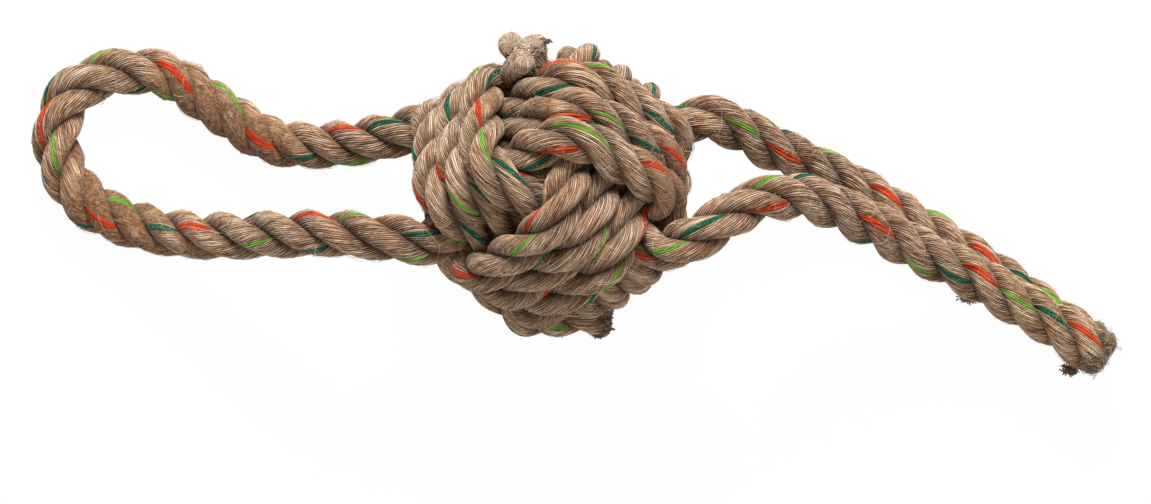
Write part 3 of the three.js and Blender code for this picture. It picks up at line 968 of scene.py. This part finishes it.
upper_end = tail_end("upper_tail", at_end=False, seed=41)
lower_end = tail_end("lower_tail", at_end=True, seed=43)
lower_end.append(tuft("lower_tail_end_tuft", (134.5, -48.5, 13), (1.6, 1.2, 1.2), seed=44))
lower_end.append(tuft("lower_tail_tuft", (107.6, -29.8, 17), (2.0, 1.0, 1.0), seed=46, count=150))
lower_end += matted("lower_tail", LOWER_TAIL_ENDS, seed=93, short=6000)
free_stretch("upper_tail_rope", "upper_tail", UPPER_TAIL_ENDS, 11, upper_end, long=130,
             cut=(True, False))
loop_felt = matted("loop", LOOP_ENDS, seed=91, short=14000)
free_stretch("loop_rope", "handle_loop", LOOP_ENDS, 21, loop_felt, long=240, short=4500)
free_stretch("lower_tail_rope", "lower_tail", LOWER_TAIL_ENDS, 31, lower_end, long=130,
             cut=(False, True))
for leg, ends in (("upper_leg", UPPER_LEG_ENDS), ("lower_leg", LOWER_LEG_ENDS)):
    inner = strands(leg + "_rope", handle, LAID, ends, handle_thickness, range(STRANDS), seed=51)
    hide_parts(leg)


# The ball

WOUND_LAID = Lay(BALL_TURNS, BALL_YARNS, ("orange", "lime", "green"))
BAND_ENDS = np.linspace(STUB, ball.length, BANDS + 1)
OUTSIDE_ENDS = (STUB, ball.length - BLUNT)

# The four pockets between the turns that no leg goes through, in mm from the ball's centre
POCKET_WAYS = [(-4.6, 2.3, 33), (4.6, -2.3, -33), (-0.4, 32.2, 9), (0.4, -32.2, -9)]
FREE_POCKETS = BALL + np.array(POCKET_WAYS) * MM
POCKET_REACH = 11 * MM
POCKET_SWELLING = 2.6 * MM
OUTER_TURNS = 2.35 * PITCH
pocket_gaps = np.linalg.norm(ball.middle[:, None, :] - FREE_POCKETS[None], axis=2)
swelling = np.clip(1 - np.min(pocket_gaps, axis=1) / POCKET_REACH, 0, 1)


def ball_thickness(s):
    """Splayed at the stub, and swollen where the turns close a free pocket."""
    places = [0, SPLAY, ball.length - SPLAY, ball.length]
    plain = np.interp(s, places, [STUB_THICKNESS, WOUND, WOUND, WOUND_END])
    return plain + POCKET_SWELLING * np.interp(s, ball.s, swelling)


for band in range(BANDS):
    for strand in range(STRANDS):
        name = f"ball_strand_{strand + 1}_of_band_{band + 1}"
        part = strands(name, ball, WOUND_LAID, BAND_ENDS[band:band + 2], ball_thickness, [strand],
                       seed=100, blunt=(0, BLUNT * (band == BANDS - 1)))
        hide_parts("fist_rope")


def outside_of_ball(middle, out):
    """True for places on the outer side of the outer turns."""
    off = middle - BALL
    return (np.linalg.norm(off, axis=1) > OUTER_TURNS) & (np.sum(unit(off) * out, axis=1) > 0.05)


def rubbed_outside(middle, out):
    """True where the ball's outer side is rubbed up."""
    return rubbed_place(middle, out) & outside_of_ball(middle, out)


def pocket_wad(name, towards, seed):
    """Matted yarn ends deep in a pocket between the turns."""
    rng = np.random.default_rng(seed)
    count, steps = 420, 7
    from_centre = 21.5
    centre = BALL + unit(towards - BALL) * from_centre * MM
    t = np.linspace(-1, 1, steps)[None, :, None]
    start = unit(rng.normal(0, 1, (count, 1, 3)))
    over = np.cross(start, unit(rng.normal(0, 1, (count, 1, 3))))
    reach = rng.uniform(4, 6, (count, 1, 1)) * MM
    paths = centre + reach * unit(start + over * rng.uniform(0.2, 0.6, (count, 1, 1)) * t)
    radii = rng.uniform(0.25, 0.5, (count, 1)) * MM * np.ones(steps)
    return hair_piece(name, paths, radii, cut_hemp, seed, sides=6, twisted=2.2)


fuzz("ball", ball, WOUND_LAID, OUTSIDE_ENDS, ball_thickness, seed=61, short=36000, long=1400,
     keep=outside_of_ball)
fuzz("ball_matted", ball, WOUND_LAID, OUTSIDE_ENDS, ball_thickness, seed=81, short=60000, long=1500,
     keep=rubbed_outside, short_look=felt_fibre)
for number, pocket in enumerate(FREE_POCKETS):
    pocket_wad(f"pocket_wad_{number + 1}", pocket, 85 + number)
stub = strands("top_stub", ball, WOUND_LAID, (STUB_INSET, STUB), ball_thickness, range(STRANDS),
               seed=100, plain=pale_hemp, blunt=(BLUNT / 2, 0))
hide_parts("fist_rope")
fuzz("stub", ball, WOUND_LAID, (STUB_INSET + BLUNT, STUB + BLUNT), ball_thickness, seed=71, short=700,
     long=20)
matted_end("top_end", ball, WOUND_LAID, False, STUB_TIP, STUB_INSET, 45, pale_hemp,
           bits=30, hairs=300, reach=1.03)
tuft("top_end_tuft", (-2.4, 36.6, 50), (1.0, 0.6, 0.6), seed=48, count=60, length=(0.6, 1.4))
matted_end("bottom_end", ball, WOUND_LAID, True, WOUND_END, 0, 47, cut_hemp,
           bits=60, hairs=900, reach=1.5)

core_look = fibre_material("core_rubber", (70, 42, 26), (88, 54, 34), (104, 66, 42), groove=(40, 24, 14),
                           groove_amount=0.0, sheen=0.0, bump=0.05)
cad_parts["core"].data.materials.clear()
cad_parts["core"].data.materials.append(core_look)
